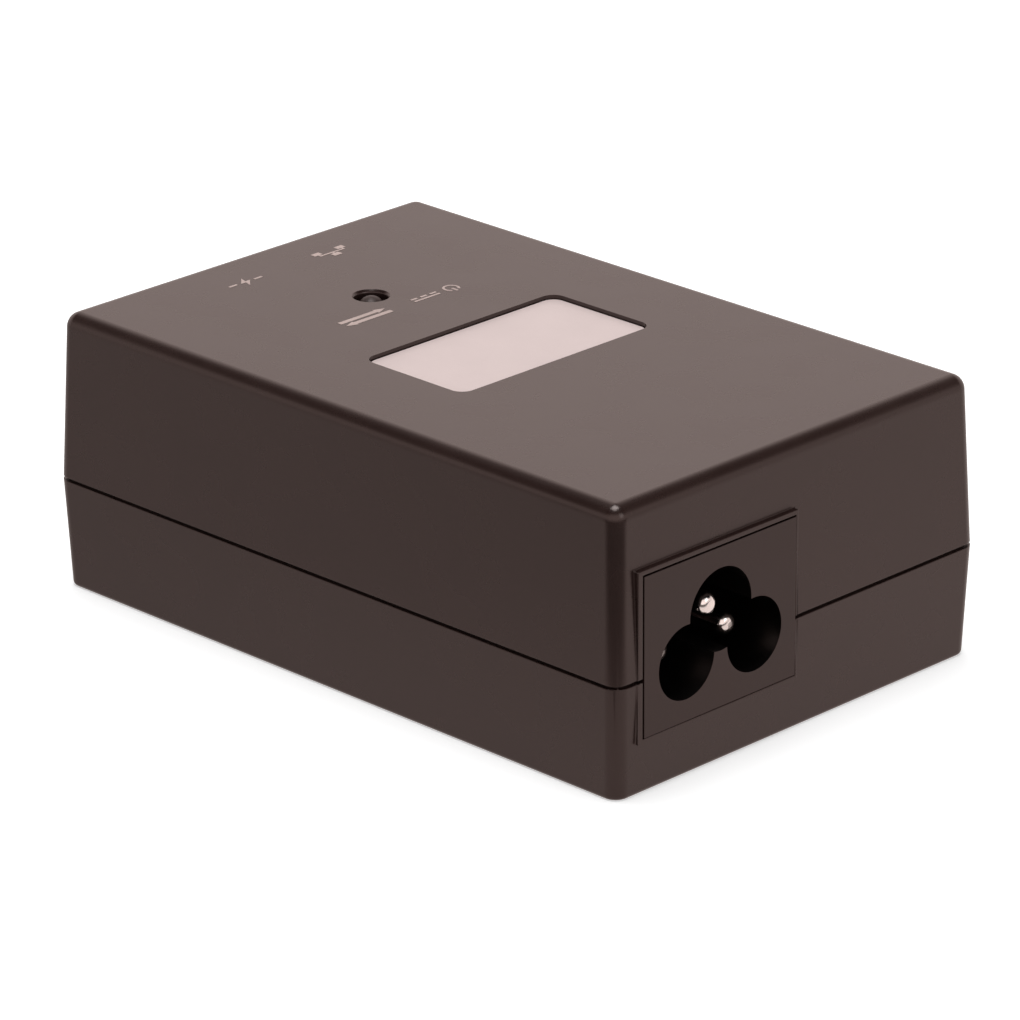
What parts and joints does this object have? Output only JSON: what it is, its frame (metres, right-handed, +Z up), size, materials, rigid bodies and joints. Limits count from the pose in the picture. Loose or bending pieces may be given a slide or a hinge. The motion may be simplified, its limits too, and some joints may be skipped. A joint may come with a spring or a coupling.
{
  "type": "power over ethernet injector",
  "caption": "Boxy plastic network power injector with a cloverleaf mains inlet at one end, network sockets at the other, and a lamp and label on top.",
  "frame": {"origin": "centre of the base, on the surface the injector stands on", "axes": "+X along the length towards the mains inlet, +Y across the width away from the inlet's side, +Z up out of the lamp and label face"},
  "size_m": [0.0801, 0.052, 0.03],
  "materials": {
    "case_plastic": "satin, fine texture",
    "screw_steel": "zinc plated",
    "label_film": "silver film",
    "inlet_plastic": "moulded",
    "plated_pin": "nickel plated",
    "terminal_brass": "plain",
    "board_laminate": "solder mask",
    "jack_plastic": "moulded",
    "shield_sheet": "tin plated",
    "contact_gold": "gold plated",
    "lamp_lens": "smoked epoxy",
    "lead_tin": "tin plated",
    "spacer_plastic": "moulded",
    "fuse_plastic": "moulded",
    "disc_coating": "dipped epoxy",
    "filter_plastic": "moulded",
    "ferrite": "sintered",
    "copper_wire": "enamelled",
    "chip_plastic": "moulded",
    "can_sleeve": "shrink sleeve",
    "winding_tape": "polyester tape",
    "sink_aluminium": "plain"
  },
  "bodies": {
    "injector": {"lower_case": "case_plastic", "upper_case": "case_plastic", "case_screws": "screw_steel", "top_label": "label_film", "rating_label": "label_film", "inlet_housing": "inlet_plastic", "inlet_line_pin": "plated_pin", "inlet_neutral_pin": "plated_pin", "inlet_earth_pin": "plated_pin", "inlet_terminals": "terminal_brass", "circuit_board": "board_laminate", "jack_housing": "jack_plastic", "jack_shield": "shield_sheet", "data_contact_carrier": "jack_plastic", "data_contact_tails": "contact_gold", "power_contact_carrier": "jack_plastic", "power_contact_tails": "contact_gold", "status_lamp": "lamp_lens", "lamp_leads": "lead_tin", "lamp_spacer": "spacer_plastic", "input_fuse": "fuse_plastic", "surge_varistor": "disc_coating", "filter_capacitor": "filter_plastic", "choke_core": "ferrite", "choke_windings": "copper_wire", "bridge_rectifier": "chip_plastic", "bulk_capacitor": "can_sleeve", "transformer_core": "ferrite", "transformer_bobbin": "chip_plastic", "transformer_winding": "winding_tape", "controller_chip": "chip_plastic", "switching_transistor": "chip_plastic", "primary_heatsink": "sink_aluminium", "optocoupler": "chip_plastic", "bridging_capacitor": "disc_coating", "output_rectifier": "chip_plastic", "secondary_heatsink": "sink_aluminium", "heatsink_screws": "screw_steel", "output_capacitors": "can_sleeve", "output_inductor": "ferrite"},
    "data_contacts": {"data_contact_springs": "contact_gold"},
    "power_contacts": {"power_contact_springs": "contact_gold"}
  },
  "joints": [
    {"name": "data_contacts_flex", "type": "hinge", "parent": "injector", "child": "data_contacts", "pos_m": [-0.03695, 0.007, 0.0173], "axis": [0, -1, 0], "range_deg": [0, 14], "stiffness_Nm_per_rad": 0.2},
    {"name": "power_contacts_flex", "type": "hinge", "parent": "injector", "child": "power_contacts", "pos_m": [-0.03695, -0.007, 0.0173], "axis": [0, -1, 0], "range_deg": [0, 14], "stiffness_Nm_per_rad": 0.2}
  ]
}
